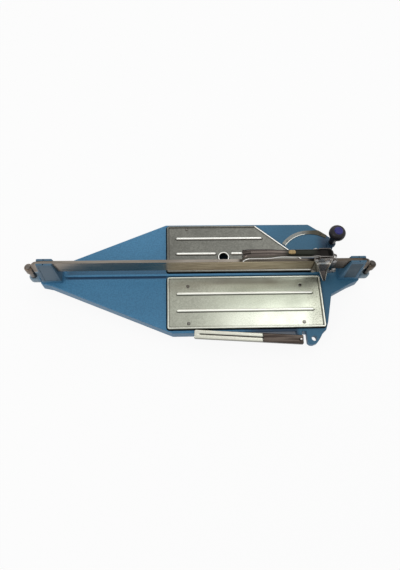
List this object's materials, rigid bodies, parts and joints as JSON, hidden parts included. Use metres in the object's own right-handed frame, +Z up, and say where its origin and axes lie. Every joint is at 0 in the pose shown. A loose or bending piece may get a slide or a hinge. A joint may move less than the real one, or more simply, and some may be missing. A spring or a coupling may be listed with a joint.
{
  "type": "tile cutter",
  "caption": "Hand tile cutter: cast base with floating plates and breaking ridge, rail between end posts, carriage with lever, scoring wheel and breaker fork, angle fence, side support arm.",
  "frame": {"origin": "bench plane under the breaking line, midway between the rail ends, at the middle foot", "axes": "+X along the rail towards the angle fence end, +Y away from the user, +Z up"},
  "size_m": [0.715, 0.2759, 0.1374],
  "materials": {
    "blue_paint": "semi-gloss blue paint on a casting",
    "rail_steel": "ground and polished steel",
    "chrome": "bright plated pressing",
    "dark_plate": "dark glossy finish",
    "zinc_sheet": "zinc plated pressed sheet",
    "steel": "plain steel hardware",
    "brass": "satin brass",
    "rubber": "moulded rubber",
    "black_plastic": "glossy moulded plastic",
    "blue_plastic": "indigo cap",
    "scale_metal": "engraved scale strip",
    "brown_steel": "dark brown finish"
  },
  "bodies": {
    "frame": {"base_casting": "blue_paint", "left_post": "blue_paint", "right_post": "blue_paint", "post_bolts": "steel", "rail": "rail_steel", "rail_tie_bolts": "steel", "tie_sleeves": "steel", "rubber_feet": "rubber", "front_plate_springs": "steel", "rear_plate_springs": "steel", "protractor_scale": "scale_metal", "protractor_rivets": "steel", "fence_pivot_screw": "steel", "support_pivot_pin": "steel"},
    "front_table": {"front_plate": "zinc_sheet", "front_guide_pins": "steel", "front_pin_clips": "steel"},
    "rear_table": {"rear_plate": "zinc_sheet", "rear_guide_pins": "steel", "rear_pin_clips": "steel"},
    "carriage": {"carriage_front_plate": "chrome", "carriage_rear_plate": "chrome", "roller_axles": "steel"},
    "roller_ul": {"upper_left_roller": "steel"},
    "roller_ur": {"upper_right_roller": "steel"},
    "roller_ll": {"lower_left_roller": "steel"},
    "roller_lr": {"lower_right_roller": "steel"},
    "lever": {"lever_arm": "dark_plate", "handle_grip": "chrome", "lever_stud": "brass", "lever_pivot_pin": "steel", "pivot_spacers": "steel", "breaker_fork": "chrome", "fork_rivet": "steel", "wheel_holder": "steel", "wheel_axle": "steel"},
    "wheel": {"scoring_wheel": "steel"},
    "fence": {"fence_arm": "blue_paint"},
    "knob": {"clamp_stud": "steel", "locking_knob": "black_plastic", "knob_cap": "blue_plastic"},
    "support": {"support_link": "brown_steel", "support_channel": "zinc_sheet"}
  },
  "joints": [
    {"name": "carriage_slide", "type": "slide", "parent": "frame", "child": "carriage", "axis": [1, 0, 0], "range_m": [-0.475, 0.006]},
    {"name": "lever_lift", "type": "hinge", "parent": "carriage", "child": "lever", "pos_m": [0.242, 0, 0.118], "axis": [0, 1, 0], "range_deg": [0, 35]},
    {"name": "wheel_spin", "type": "hinge", "parent": "lever", "child": "wheel", "pos_m": [0.27475, 0, 0.05086], "axis": [0, 1, 0], "continuous": true},
    {"name": "upper_left_spin", "type": "hinge", "parent": "carriage", "child": "roller_ul", "pos_m": [0.229, 0, 0.1065], "axis": [0, 1, 0], "continuous": true},
    {"name": "upper_right_spin", "type": "hinge", "parent": "carriage", "child": "roller_ur", "pos_m": [0.2595, 0, 0.1065], "axis": [0, 1, 0], "continuous": true},
    {"name": "lower_left_spin", "type": "hinge", "parent": "carriage", "child": "roller_ll", "pos_m": [0.229, 0, 0.059], "axis": [0, 1, 0], "continuous": true},
    {"name": "lower_right_spin", "type": "hinge", "parent": "carriage", "child": "roller_lr", "pos_m": [0.2595, 0, 0.059], "axis": [0, 1, 0], "continuous": true},
    {"name": "front_plate_press", "type": "slide", "parent": "frame", "child": "front_table", "axis": [0, 0, 1], "range_m": [-0.004, 0], "stiffness_N_per_m": 12000, "springref_m": 0.003, "deforming": ["front_plate_springs"]},
    {"name": "rear_plate_press", "type": "slide", "parent": "frame", "child": "rear_table", "axis": [0, 0, 1], "range_m": [-0.004, 0], "stiffness_N_per_m": 12000, "springref_m": 0.003, "deforming": ["rear_plate_springs"]},
    {"name": "fence_swing", "type": "hinge", "parent": "frame", "child": "fence", "pos_m": [0.258, 0, 0.0305], "axis": [0, 0, 1], "range_deg": [0, 45]},
    {"name": "knob_turn", "type": "hinge", "parent": "fence", "child": "knob", "pos_m": [0.285, 0.072, 0.05], "axis": [0, 0, 1], "continuous": true},
    {"name": "support_swing", "type": "hinge", "parent": "frame", "child": "support", "pos_m": [0.1935, -0.1455, 0.034], "axis": [0, 0, 1], "range_deg": [0, 90]}
  ],
  "couplings": [
    {"joint": "upper_left_spin", "follows": "carriage_slide", "rad_per_m": 181.82},
    {"joint": "upper_right_spin", "follows": "carriage_slide", "rad_per_m": 181.82},
    {"joint": "lower_left_spin", "follows": "carriage_slide", "rad_per_m": -200},
    {"joint": "lower_right_spin", "follows": "carriage_slide", "rad_per_m": -200}
  ]
}
